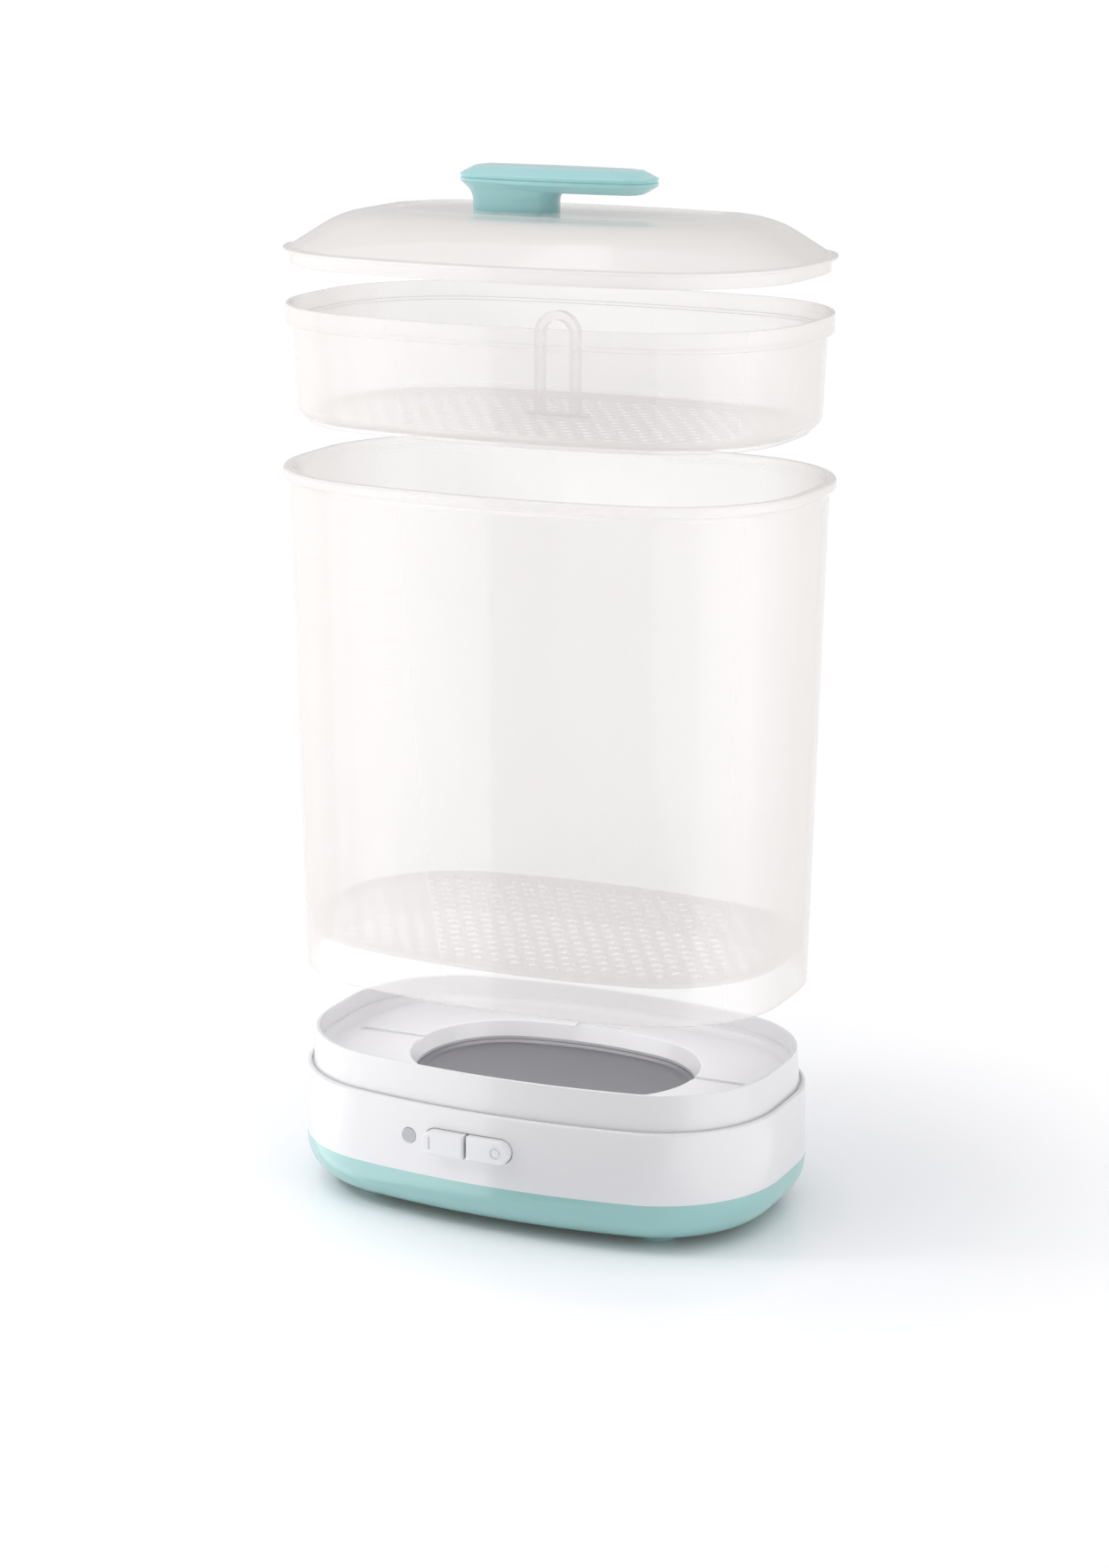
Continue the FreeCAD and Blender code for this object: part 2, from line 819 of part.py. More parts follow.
def perforated_floor(inset, bottom, thickness, keep_clear):
    rim = outline(rim_arcs, inset, bottom)
    field = Part.Face(outline(rim_arcs, inset + hole_margin, bottom))
    row_pitch = hole_pitch * math.sqrt(3) / 2
    rows = int(rim_half_width / row_pitch)
    columns = int(rim_half_length / hole_pitch)
    holes = []
    for row in range(-rows, rows + 1):
        for column in range(-columns, columns + 1):
            centre = Vector((column + row % 2 / 2) * hole_pitch, row * row_pitch, bottom)
            in_loop = abs(centre.x) < keep_clear.x and abs(centre.y) < keep_clear.y
            if field.isInside(centre, 1e-3, True) and not in_loop:
                holes.append(Part.Wire(Part.makeCircle(hole_radius, centre)))
    face = Part.makeFace([rim] + holes, "Part::FaceMakerBullseye")
    return face.extrude(UP * thickness)


def large_basket_floor():
    inset = basket_inner_inset(basket_floor)
    return perforated_floor(inset, basket_floor, basket_floor_thickness, Vector())


def small_basket():
    inner_round = small_bottom_round - small_wall
    return swept(rim_arcs, [
        (small_plug, small_bottom - small_plug_drop),
        (small_plug, small_bottom),
        (small_foot_inset, small_bottom, small_bottom_round),
        (small_wall_inset, small_band),
        (small_band_inset, small_band, edge_round),
        (small_band_inset, small_rim, edge_round),
        (small_rim_inner, small_rim, edge_round),
        (small_rim_inner, small_band + small_wall),
        (small_wall_inset + small_wall, small_band + small_wall),
        (small_foot_inset + small_wall, small_floor_top, inner_round),
        (small_floor_inset, small_floor_top),
        (small_floor_inset, small_bottom - small_plug_drop),
    ], closed=True)


def small_basket_floor():
    room = Vector(loop_width, loop_foot_width, 0)
    return perforated_floor(small_floor_inset, small_bottom, small_wall, room)


def lifting_loop():
    top = small_rim - loop_below_rim
    outer = loop_width / 2
    crown = top - outer
    inner = outer - loop_bar
    front = -loop_thickness / 2
    arch = rod(outer, loop_thickness, Vector(0, front, crown), BACK)
    gap = rod(inner, loop_thickness, Vector(0, front, crown), BACK)
    legs = slab(loop_width, loop_thickness, crown - small_floor_top, 0, 0, small_floor_top)
    between = slab(2 * inner, loop_thickness, crown - small_floor_top, 0, 0, small_floor_top)
    foot = slab(loop_width + loop_foot_width, loop_foot_width, loop_foot_thickness, 0, 0, small_floor_top)
    return union(union(arch, [legs]).cut([gap, between]), [foot])


def lid_shell():
    slope = (dome_knee_rise - dome_foot_rise) / (dome_knee_inset - dome_foot_inset)
    drop = lid_wall * math.sqrt(1 + slope ** 2)
    skirt_inner = lid_skirt_inset + lid_wall
    skirt_bottom = lid_level - lid_skirt_height
    start = dome_foot_rise + slope * (skirt_inner - dome_foot_inset) - drop
    floor_inset = plateau_inset + plateau_rim
    shell = swept(rim_arcs, [
        (floor_inset + plateau_rim, handle_level),
        (floor_inset, handle_level),
        (plateau_inset, plateau_level, edge_round),
        (dome_knee_inset, lid_top + dome_knee_rise, dome_round),
        (dome_foot_inset, lid_top + dome_foot_rise, 2 * edge_round),
        (lid_flange_inset, lid_top),
        (lid_flange_inset, lid_level, edge_round),
        (lid_skirt_inset, lid_level),
        (lid_skirt_inset, skirt_bottom, edge_round),
        (skirt_inner, skirt_bottom, edge_round),
        (skirt_inner, lid_top + start),
        (dome_knee_inset + lid_wall / 2, lid_top + dome_knee_rise - lid_wall, dome_round - lid_wall),
        (plateau_inset, plateau_underside),
        (floor_inset + plateau_rim, plateau_underside),
    ])
    return shell.cut([rod(screw_radius + screw_clearance, lid_wall, Vector(x, 0, plateau_underside))
                      for x in handle_screw_places])


def handle_base():
    grip = swept(grip_arcs, [
        (grip_crown_inset, grip_level),
        (grip_bevel, grip_level, grip_bevel_round),
        (0, seam_level - grip_edge, grip_edge_round),
        (0, seam_level - grip_seam),
        (grip_seam, seam_level),
        (grip_crown_inset, seam_level),
    ])
    flare_top = seam_level - grip_edge
    stalk = swept(stalk_arcs, [
        (stalk_corner_radius / 2, handle_level),
        (0, handle_level),
        (0, grip_level - stalk_flare_drop, stalk_flare_round),
        (-stalk_flare, flare_top),
        (stalk_corner_radius / 2, flare_top),
    ])
    depth = handle_screw_length - lid_wall
    return union(stalk, [grip]).cut([rod(screw_radius, depth, Vector(x, 0, handle_level))
                                     for x in handle_screw_places])


def handle_cap():
    return swept(grip_arcs, [
        (grip_crown_inset, seam_level),
        (grip_seam, seam_level),
        (0, seam_level + grip_seam),
        (0, seam_level + grip_edge, grip_edge_round),
        (grip_bevel, handle_top - grip_crown, grip_bevel_round),
        (grip_crown_inset, handle_top),
    ])


def handle_screws():
    screws = []
    for x in handle_screw_places:
        head = rod(screw_head_radius, screw_head_height, Vector(x, 0, plateau_underside - screw_head_height))
        shank = rod(screw_radius, handle_screw_length, Vector(x, 0, plateau_underside))
        screws.append(union(head, [shank]))
    return Part.makeCompound(screws)


nodes = {
    "upper_housing": upper_housing(),
    "lower_housing": lower_housing(),
    "feet": feet(),
    "housing_screws": housing_screws(),
    "heating_plate": heating_plate(),
    "plate_gasket": plate_gasket(),
    "plate_clamp_ring": plate_clamp_ring(),
    "plate_screws": plate_screws(),
    "heating_element": heating_element(),
    "thermostat": thermostat(),
    "thermal_fuse": thermal_fuse(),
    "fuse_strap": fuse_strap(),
    "on_key": key(-1),
    "off_key": key(1),
    "on_plunger": plunger(key_places[0]),
    "off_plunger": plunger(key_places[1]),
    "key_switches": key_switches(),
    "circuit_board": circuit_board(),
    "board_screws": board_screws(),
    "indicator_lens": indicator_lens(),
    "indicator_lamp": indicator_lamp(),
    "terminal_block": terminal_block(),
    "internal_leads": internal_leads(),
    "cord_gland": cord_gland(),
    "gland_nut": gland_nut(),
    "large_basket": large_basket(),
    "large_basket_floor": large_basket_floor(),
    "small_basket": small_basket(),
    "small_basket_floor": small_basket_floor(),
    "lifting_loop": lifting_loop(),
    "lid_shell": lid_shell(),
    "handle_base": handle_base(),
    "handle_cap": handle_cap(),
    "handle_screws": handle_screws(),
}

os.makedirs("parts", exist_ok=True)
for name, shape in nodes.items():
    shape.exportStep("parts/" + name + ".step")
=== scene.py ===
import json
import math
import bmesh
import bpy
from mathutils import Matrix, Vector


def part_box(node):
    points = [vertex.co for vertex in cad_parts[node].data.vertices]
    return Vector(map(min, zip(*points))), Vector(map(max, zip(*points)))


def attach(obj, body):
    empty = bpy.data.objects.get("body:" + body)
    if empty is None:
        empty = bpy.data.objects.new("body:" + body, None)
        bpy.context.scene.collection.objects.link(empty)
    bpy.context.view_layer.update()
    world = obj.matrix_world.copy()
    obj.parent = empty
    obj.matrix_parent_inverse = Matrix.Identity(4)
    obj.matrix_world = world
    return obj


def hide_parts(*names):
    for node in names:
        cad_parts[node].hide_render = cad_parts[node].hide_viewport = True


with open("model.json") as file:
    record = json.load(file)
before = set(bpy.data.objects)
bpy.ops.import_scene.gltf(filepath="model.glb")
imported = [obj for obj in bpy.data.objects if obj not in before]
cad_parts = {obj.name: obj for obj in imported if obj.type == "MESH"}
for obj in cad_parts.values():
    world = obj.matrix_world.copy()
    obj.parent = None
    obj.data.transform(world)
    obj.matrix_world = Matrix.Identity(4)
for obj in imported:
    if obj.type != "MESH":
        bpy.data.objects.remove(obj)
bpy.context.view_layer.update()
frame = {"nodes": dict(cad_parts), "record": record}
nodes = frame["nodes"]
scene = bpy.context.scene
scene.view_settings.view_transform = "Standard"
print("frame loaded:", len(nodes), "nodes")


class Signal:
    # one value in a material; sums, products and powers on it add Math nodes
    def __init__(self, finish, socket):
        self.finish = finish
        self.socket = socket

    def maths(self, operation, first, second):
        return self.finish.node("ShaderNodeMath", {"operation": operation}, {0: first, 1: second})

    def __add__(self, other):
        return self.maths("ADD", self, other)

    def __radd__(self, other):
        return self.maths("ADD", other, self)

    def __sub__(self, other):
        return self.maths("SUBTRACT", self, other)

    def __rsub__(self, other):
        return self.maths("SUBTRACT", other, self)

    def __mul__(self, other):
        return self.maths("MULTIPLY", self, other)

    def __rmul__(self, other):
        return self.maths("MULTIPLY", other, self)

    def __pow__(self, other):
        return self.maths("POWER", self, other)

    def __rpow__(self, other):
        return self.maths("POWER", other, self)


class Finish:
    # one material (or the world) and the nodes that make it
    def __init__(self, owner):
        owner.use_nodes = True
        self.owner = owner
        self.tree = owner.node_tree
        self.tree.nodes.clear()

    def node(self, kind, settings, sockets, output=0):
        made = self.tree.nodes.new(kind)
        for key, value in settings.items():
            setattr(made, key, value)
        for key, value in sockets.items():
            if isinstance(value, Signal):
                self.tree.links.new(value.socket, made.inputs[key])
            else:
                made.inputs[key].default_value = value
        return Signal(self, made.outputs[output]) if made.outputs else None

    def mix(self, amount, first, second):
        # a colour Mix node: its colour sockets are 6 and 7, and its colour result is 2
        return self.node("ShaderNodeMix", {"data_type": "RGBA"}, {0: amount, 6: first, 7: second}, 2)

    def place(self, stretch=(1.0, 1.0, 1.0)):
        where = self.node("ShaderNodeTexCoord", {}, {}, "Object")
        return self.node("ShaderNodeMapping", {}, {"Vector": where, "Scale": stretch})

    def noise(self, where, scale, detail, rough=0.5):
        return self.node("ShaderNodeTexNoise", {}, {
            "Vector": where, "Scale": scale, "Detail": detail, "Roughness": rough})

    def ramp(self, value, low, high):
        # 0 below low and 1 above high, with a soft step between them
        return self.node("ShaderNodeMapRange", {"interpolation_type": "SMOOTHSTEP"}, {
            "Value": value, "From Min": low, "From Max": high})

    def bump(self, height, distance):
        return self.node("ShaderNodeBump", {}, {"Height": height, "Distance": distance})

    def surface(self, sockets):
        shader = self.node("ShaderNodeBsdfPrincipled", {}, sockets)
        self.node("ShaderNodeOutputMaterial", {}, {"Surface": shader})
        return self.owner


def shade(colour, amount):
    return (colour[0] * amount, colour[1] * amount, colour[2] * amount, 1.0)


def drifting(finish, amount, look):
    # the look's colour, a little darker or lighter from place to place
    dark = shade(look["colour"], 1 - look["drift"])
    light = shade(look["colour"], 1 + look["drift"])
    return finish.mix(amount, dark, light)


plastic = {
    "driftScale": 9.0, "driftDetail": 3.0, "drift": 0.012,
    "grainScale": 2600.0, "grainDetail": 2.0, "grainDepth": 0.00001,
    "roughness": 0.30, "glossDrift": 0.06, "coat": 0.0, "coatRoughness": 0.1,
}
plastics = {
    "white_housing": {"colour": (0.80, 0.797, 0.815), "coat": 0.5},
    "aqua_tub": {"colour": (0.32, 0.585, 0.57), "roughness": 0.34, "coat": 0.7, "coatRoughness": 0.18},
    "aqua_handle": {"colour": (0.37, 0.69, 0.705), "roughness": 0.26, "coat": 0.8, "coatRoughness": 0.16},
    "key_plastic": {"colour": (0.82, 0.82, 0.84), "coat": 0.3},
    "lens_plastic": {"colour": (0.50, 0.50, 0.53)},
    "lamp_resin": {"colour": (0.60, 0.64, 0.64), "roughness": 0.15},
    "foot_rubber": {"colour": (0.42, 0.66, 0.66), "roughness": 0.55},
    "gasket_silicone": {"colour": (0.55, 0.55, 0.56), "roughness": 0.6},
    "inner_plastic": {"colour": (0.62, 0.60, 0.55), "roughness": 0.5},
    "switch_plastic": {"colour": (0.03, 0.03, 0.03), "roughness": 0.5},
    "board_laminate": {"colour": (0.05, 0.20, 0.09), "roughness": 0.4},
    "lead_rubber": {"colour": (0.10, 0.10, 0.12), "roughness": 0.5},
    "gland_plastic": {"colour": (0.60, 0.62, 0.65), "roughness": 0.45},
}


def moulded(name, look):
    # satin moulded plastic: fine grain, a slight drift in tone and in gloss
    finish = Finish(bpy.data.materials.new(name))
    where = finish.place()
    drift = finish.noise(where, look["driftScale"], look["driftDetail"])
    grain = finish.noise(where, look["grainScale"], look["grainDetail"])
    return finish.surface({
        "Base Color": drifting(finish, drift, look),
        "Roughness": look["roughness"] + (drift - 0.5) * look["glossDrift"],
        "Normal": finish.bump(grain, look["grainDepth"]),
        "Coat Weight": look["coat"],
        "Coat Roughness": look["coatRoughness"],
    })


# the frosted plastics' small emission is painted light: a glow in their own colour that stands in for the
# bright room's light passing the walls
frost = {
    "flowScale": 14.0, "flowDetail": 4.0, "grainScale": 1500.0, "grainDetail": 2.0, "grainDepth": 0.00002,
    "colour": (0.96, 0.932, 0.925), "drift": 0.02, "edgeColour": (0.66, 0.615, 0.585), "edgePower": 1.8,
    "roughness": 0.24, "glossDrift": 0.08, "body": 0.26, "edgeBody": 0.92, "through": 0.065,
    "coat": 0.9, "coatRoughness": 0.05,
}
frosts = {
    "frosted_basket": {},
    "frosted_lid": {"body": 0.50, "through": 0.05},
}


def frosted(name, look):
    # translucent plastic: clear face on, denser and greyer where the wall turns away, with a faint painted
    # glow standing in for room light that passes the wall
    finish = Finish(bpy.data.materials.new(name))
    where = finish.place()
    flow = finish.noise(where, look["flowScale"], look["flowDetail"])
    grain = finish.noise(where, look["grainScale"], look["grainDetail"])
    turn = finish.node("ShaderNodeLayerWeight", {}, {"Blend": 0.5}, "Facing")
    edge = turn ** look["edgePower"]
    face = finish.mix(flow, shade(look["colour"], 1 - look["drift"]), shade(look["colour"], 1))
    return finish.surface({
        "Base Color": finish.mix(edge, face, shade(look["edgeColour"], 1)),
        "Roughness": look["roughness"] + (flow - 0.5) * look["glossDrift"],
        "Alpha": look["body"] + edge * (look["edgeBody"] - look["body"]),
        "Normal": finish.bump(grain, look["grainDepth"]),
        "Coat Weight": look["coat"],
        "Coat Roughness": look["coatRoughness"],
        # painted light: the plastic glows faintly in its own colour, in place of room light passing the wall
        "Emission Color": shade(look["colour"], 1),
        "Emission Strength": look["through"],
    })


metal = {
    "stretch": (1.0, 1.0, 1.0), "lineScale": 900.0, "lineDetail": 5.0, "lineRough": 0.6, "lineShare": 0.6,
    "lineDepth": 0.00001, "cloudScale": 30.0, "cloudDetail": 3.0, "colour": (0.55, 0.55, 0.56),
    "drift": 0.10, "roughness": 0.38, "glossDrift": 0.2, "metal": 1.0,
}
metals = {
    "plate_steel": {"stretch": (0.12, 1.0, 1.0), "lineScale": 1400.0, "colour": (0.27, 0.268, 0.29),
                    "metal": 0.75, "roughness": 0.42},
    "element_steel": {"colour": (0.22, 0.20, 0.18), "roughness": 0.5},
    "sensor_metal": {"colour": (0.60, 0.60, 0.61)},
    "screw_steel": {},
}


def brushed(name, look):
    # metal brushed along the way its pattern is stretched
    finish = Finish(bpy.data.materials.new(name))
    along = finish.place(look["stretch"])
    lines = finish.noise(along, look["lineScale"], look["lineDetail"], look["lineRough"])
    cloud = finish.noise(finish.place(), look["cloudScale"], look["cloudDetail"])
    tone = lines * look["lineShare"] + cloud * (1 - look["lineShare"])
    return finish.surface({
        "Base Color": drifting(finish, tone, look),
        "Roughness": look["roughness"] + (lines - 0.5) * look["glossDrift"],
        "Metallic": look["metal"],
        "Normal": finish.bump(lines, look["lineDepth"]),
    })


def finishName(slot):
    first, *rest = slot.split("_")
    return first + "".join(word.capitalize() for word in rest)


kinds = ((moulded, plastic, plastics), (frosted, frost, frosts), (brushed, metal, metals))
finishes = {}
for make, usual, looks in kinds:
    for slot, look in looks.items():
        finishes[slot] = make(finishName(slot), {**usual, **look})
slotOf = {part["node"]: part["material_slot"] for part in frame["record"]["subparts"]}
for name, part in nodes.items():
    part.data.materials.clear()
    part.data.materials.append(finishes[slotOf[name]])
print("finishes made:", len(finishes))

# a wall follows an oval of eight tangent arcs; each arc is cut into steps, as is each rounded profile corner
skinSteps = {"end": 12, "corner": 28, "side": 24, "round": 6}
sharpAngle = 35  # degrees; a steeper bend shows as an edge


def ovalArcs(plan):
    sideY = plan["halfWidth"] - plan["side"]
    endX = plan["halfLength"] - plan["end"]
    toSide = plan["side"] - plan["corner"]
    toEnd = plan["end"] - plan["corner"]
    spread = Vector((endX, -sideY))
    along = (toSide ** 2 - toEnd ** 2 + spread.length_squared) / (2 * spread.length)
    across = math.sqrt(toSide ** 2 - along ** 2)
    unit = spread.normalized()
    corner = Vector((0, sideY)) + unit * along + Vector((unit.y, -unit.x)) * across
    mirrored = Vector((-corner.x, corner.y))
    low = math.atan2(corner.y, corner.x - endX)
    high = math.atan2(corner.y - sideY, corner.x)
    arcs = []
    for flip, start in ((1, 0.0), (-1, math.pi)):
        arcs.append((Vector((endX, 0)) * flip, plan["end"], start - low, 2 * low, "end"))
        arcs.append((corner * flip, plan["corner"], start + low, high - low, "corner"))
        arcs.append((Vector((0, sideY)) * flip, plan["side"], start + high, math.pi - 2 * high, "side"))
        arcs.append((mirrored * flip, plan["corner"], start + math.pi - high, high - low, "corner"))
    return arcs


def ovalRing(arcs, inset, level, shift):
    ring = []
    for centre, radius, start, sweep, kind in arcs:
        for step in range(skinSteps[kind]):
            angle = start + sweep * step / skinSteps[kind]
            ring.append(Vector((centre.x + shift + math.cos(angle) * (radius - inset),
                                centre.y + math.sin(angle) * (radius - inset), level)))
    return ring


def softened(points):
    # a profile of (inset, level) or (inset, level, rounding) corners as plain points
    made = []
    for index, point in enumerate(points):
        here = Vector(point[:2])
        if len(point) < 3:
            made.append(here)
            continue
        radius = point[2]
        back = (Vector(points[index - 1][:2]) - here).normalized()
        ahead = (Vector(points[(index + 1) % len(points)][:2]) - here).normalized()
        half = back.angle(ahead) / 2
        centre = here + (back + ahead).normalized() * radius / math.sin(half)
        first = here + back * radius / math.tan(half) - centre
        last = here + ahead * radius / math.tan(half) - centre
        turn = first.angle_signed(last)
        for step in range(skinSteps["round"] + 1):
            made.append(centre + Matrix.Rotation(-turn * step / skinSteps["round"], 2) @ first)
    return made


def wall(name, plan, points, closed=False, shift=0.0):
    # carries a profile round the plan as one skin; an open profile gets a face across each end
    arcs = ovalArcs(plan)
    skin = bmesh.new()
    rings = [[skin.verts.new(place) for place in ovalRing(arcs, inset, level, shift)]
             for inset, level in softened(points)]
    pairs = list(zip(rings, rings[1:]))
    if closed:
        pairs.append((rings[-1], rings[0]))
    for first, second in pairs:
        for index in range(len(first)):
            after = (index + 1) % len(first)
            skin.faces.new((first[index], first[after], second[after], second[index]))
    if not closed:
        skin.faces.new(rings[0])
        skin.faces.new(rings[-1])
    bmesh.ops.recalc_face_normals(skin, faces=skin.faces)
    mesh = bpy.data.meshes.new(name)
    skin.to_mesh(mesh)
    skin.free()
    mesh.shade_smooth()
    mesh.set_sharp_from_angle(angle=math.radians(sharpAngle))
    made = bpy.data.objects.new(name, mesh)
    scene.collection.objects.link(made)
    even = made.modifiers.new("evenNormals", "WEIGHTED_NORMAL")
    even.keep_sharp = True
    return made


def dress(piece, body, slotName, *replaced):
    piece.data.materials.append(finishes[slotName])
    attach(piece, body)
    if replaced:
        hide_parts(*replaced)


rimPlan = {"halfLength": 0.14494, "halfWidth": 0.09694, "side": 0.450, "corner": 0.078, "end": 0.740}

largeBasket = {
    "wallInset": 0.0035, "taper": 0.006, "wall": 0.0022, "bead": 0.0045, "beadSlope": 0.003,
    "beadRound": 0.0016, "shoulderRound": 0.004, "round": 0.0007,
}


def makeLargeBasket(size):
    low, high = (corner.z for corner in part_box("large_basket"))
    foot = size["wallInset"] + size["taper"]
    beadFoot = high - size["bead"]
    inner = size["wallInset"] + size["wall"]
    basket = wall("largeBasketWall", rimPlan, [
        (foot, low, size["round"]),
        (size["wallInset"], beadFoot - size["beadSlope"], size["shoulderRound"]),
        (0, beadFoot, size["round"]),
        (0, high, size["beadRound"]),
        (inner, high, size["beadRound"]),
        (foot + size["wall"], low, size["round"]),
    ], closed=True)
    dress(basket, "large_basket", "frosted_basket", "large_basket")


makeLargeBasket(largeBasket)

smallBasket = {
    "band": 0.0104, "bandInset": 0.0026, "wall": 0.002, "wallInset": 0.0061, "taper": 0.002,
    "plug": 0.006, "plugDrop": 0.002, "bottomRound": 0.007, "round": 0.0007,
}


def makeSmallBasket(size):
    plugLevel, rim = (corner.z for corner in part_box("small_basket"))
    bottom = plugLevel + size["plugDrop"]
    band = rim - size["band"]
    wallFoot = size["wallInset"] + size["taper"]
    plug = wallFoot + size["plug"]
    basket = wall("smallBasketWall", rimPlan, [
        (plug, plugLevel),
        (plug, bottom),
        (wallFoot, bottom, size["bottomRound"]),
        (size["wallInset"], band),
        (size["bandInset"], band, size["round"]),
        (size["bandInset"], rim, size["round"]),
        (size["bandInset"] + size["wall"], rim, size["round"]),
        (size["bandInset"] + size["wall"], band + size["wall"]),
        (size["wallInset"] + size["wall"], band + size["wall"]),
        (wallFoot + size["wall"], bottom + size["wall"], size["bottomRound"] - size["wall"]),
        (plug + size["wall"], bottom + size["wall"]),
        (plug + size["wall"], plugLevel),
    ], closed=True)
    dress(basket, "small_basket", "frosted_basket", "small_basket")


makeSmallBasket(smallBasket)

lid = {
    "flangeInset": 0.0017, "flange": 0.0014, "skirt": 0.0065, "skirtInset": 0.005, "wall": 0.0022,
    "footInset": 0.0055, "footRise": 0.0008, "kneeInset": 0.033, "kneeRise": 0.018, "domeRound": 0.052,
    "plateauInset": 0.058, "plateauRise": 0.0199, "recess": 0.0012, "rim": 0.0025, "round": 0.0006,
    "footRound": 0.0012, "lipRound": 0.0003,
}


def makeLid(size):
    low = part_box("lid_shell")[0].z
    under = low + size["skirt"]
    top = under + size["flange"]
    plateau = top + size["plateauRise"]
    recess = plateau - size["recess"]
    recessInset = size["plateauInset"] + size["rim"]
    middle = recessInset + size["rim"]
    slope = (size["kneeRise"] - size["footRise"]) / (size["kneeInset"] - size["footInset"])
    skirtInner = size["skirtInset"] + size["wall"]
    # the dome's inner face runs one wall below its outer face, measured square to the slope
    drop = size["wall"] * math.sqrt(1 + slope ** 2)
    start = size["footRise"] + slope * (skirtInner - size["footInset"]) - drop
    shell = wall("lidDome", rimPlan, [
        (middle, recess),
        (recessInset, recess, size["round"]),
        (size["plateauInset"], plateau, size["round"]),
        (size["kneeInset"], top + size["kneeRise"], size["domeRound"]),
        (size["footInset"], top + size["footRise"], size["footRound"]),
        (size["flangeInset"], top, size["lipRound"]),
        (size["flangeInset"], under, size["round"]),
        (size["skirtInset"], under),
        (size["skirtInset"], low, size["round"]),
        (skirtInner, low, size["round"]),
        (skirtInner, top + start),
        (size["kneeInset"] + size["wall"] / 2, top + size["kneeRise"] - size["wall"],
         size["domeRound"] - size["wall"]),
        (size["plateauInset"], recess - size["wall"]),
        (middle, recess - size["wall"]),
    ])
    dress(shell, "lid", "frosted_lid", "lid_shell")


makeLid(lid)
print("frosted tiers made")

gripPlan = {"halfLength": 0.054, "halfWidth": 0.019, "side": 0.260, "corner": 0.015, "end": 0.024}
stalkPlan = {"halfLength": 0.0235, "halfWidth": 0.011, "side": 0.110, "corner": 0.008, "end": 0.014}
handle = {
    "stalkShift": -0.0238, "stalk": 0.0106, "stalkCore": 0.004, "flare": 0.0062, "flareRound": 0.009,
    "flareDrop": 0.001, "bevel": 0.0075, "bevelRound": 0.0065, "edge": 0.002, "edgeRound": 0.0008,
    "seam": 0.0006, "crown": 0.0007, "crownInset": 0.0135,
}


def makeHandle(size):
    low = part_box("handle_base")[0].z
    seam, top = (corner.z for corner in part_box("handle_cap"))
    grip = low + size["stalk"]
    lowerEdge = seam - size["edge"]
    lower = wall("gripLower", gripPlan, [
        (size["crownInset"], grip),
        (size["bevel"], grip, size["bevelRound"]),
        (0, lowerEdge, size["edgeRound"]),
        (0, seam - size["seam"]),
        (size["seam"], seam),
        (size["crownInset"], seam),
    ])
    stalk = wall("gripStalk", stalkPlan, [
        (size["stalkCore"], low),
        (0, low),
        (0, grip - size["flareDrop"], size["flareRound"]),
        (-size["flare"], lowerEdge),
        (size["stalkCore"], lowerEdge),
    ], shift=size["stalkShift"])
    cap = wall("gripCap", gripPlan, [
        (size["crownInset"], seam),
        (size["seam"], seam),
        (0, seam + size["seam"]),
        (0, seam + size["edge"], size["edgeRound"]),
        (size["bevel"], top - size["crown"], size["bevelRound"]),
        (size["crownInset"], top),
    ])
    dress(lower, "lid", "aqua_handle", "handle_base")
    dress(stalk, "lid", "aqua_handle")
    dress(cap, "lid", "aqua_handle", "handle_cap")


makeHandle(handle)
print("handle made")


def heading(azimuth):
    turn = math.radians(azimuth)
    return Vector((math.cos(turn), math.sin(turn), 0))


def makeSheet(name, points, faces, material):
    mesh = bpy.data.meshes.new(name)
    mesh.from_pydata(points, [], faces)
    mesh.materials.append(material)
    made = bpy.data.objects.new(name, mesh)
    scene.collection.objects.link(made)
    return made


# the floor shades and mirrors near the object, and turns into plain white paper further out
studioGround = {
    "colour": (0.78, 0.79, 0.825, 1.0), "roughness": 0.12, "gloss": 0.6, "glow": (0.02, 0.015, 0.01, 1.0),
    "paper": (1.02, 1.02, 1.02, 1.0), "paperFrom": 0.19, "paperTo": 0.42, "half": 40.0,
}


def makeFloor(size):
    finish = Finish(bpy.data.materials.new("studioFloor"))
    where = finish.node("ShaderNodeTexCoord", {}, {}, "Object")
    away = finish.node("ShaderNodeVectorMath", {"operation": "LENGTH"}, {0: where}, "Value")
    near = finish.node("ShaderNodeBsdfPrincipled", {}, {
        "Base Color": size["colour"], "Roughness": size["roughness"], "Specular IOR Level": size["gloss"],
        "Emission Color": size["glow"], "Emission Strength": 1.0,
    })
    far = finish.node("ShaderNodeEmission", {}, {"Color": size["paper"]})
    paper = finish.ramp(away, size["paperFrom"], size["paperTo"])
    blend = finish.node("ShaderNodeMixShader", {}, {0: paper, 1: near, 2: far})
    finish.node("ShaderNodeOutputMaterial", {}, {"Surface": blend})
    half = size["half"]
    corners = [(-half, -half, 0), (half, -half, 0), (half, half, 0), (-half, half, 0)]
    floor = makeSheet("studioFloor", corners, [(0, 1, 2, 3)], finish.owner)


makeFloor(studioGround)

# an even room, darker on the side that faces the keys, and white where it is seen directly
studioRoom = {
    "colour": (1.0, 1.0, 1.0, 1.0), "level": 0.66, "seen": 1.02,
    "darkSide": -78, "darkSpread": 40, "darkSoftness": 0.10, "darkLevel": 0.35,
}


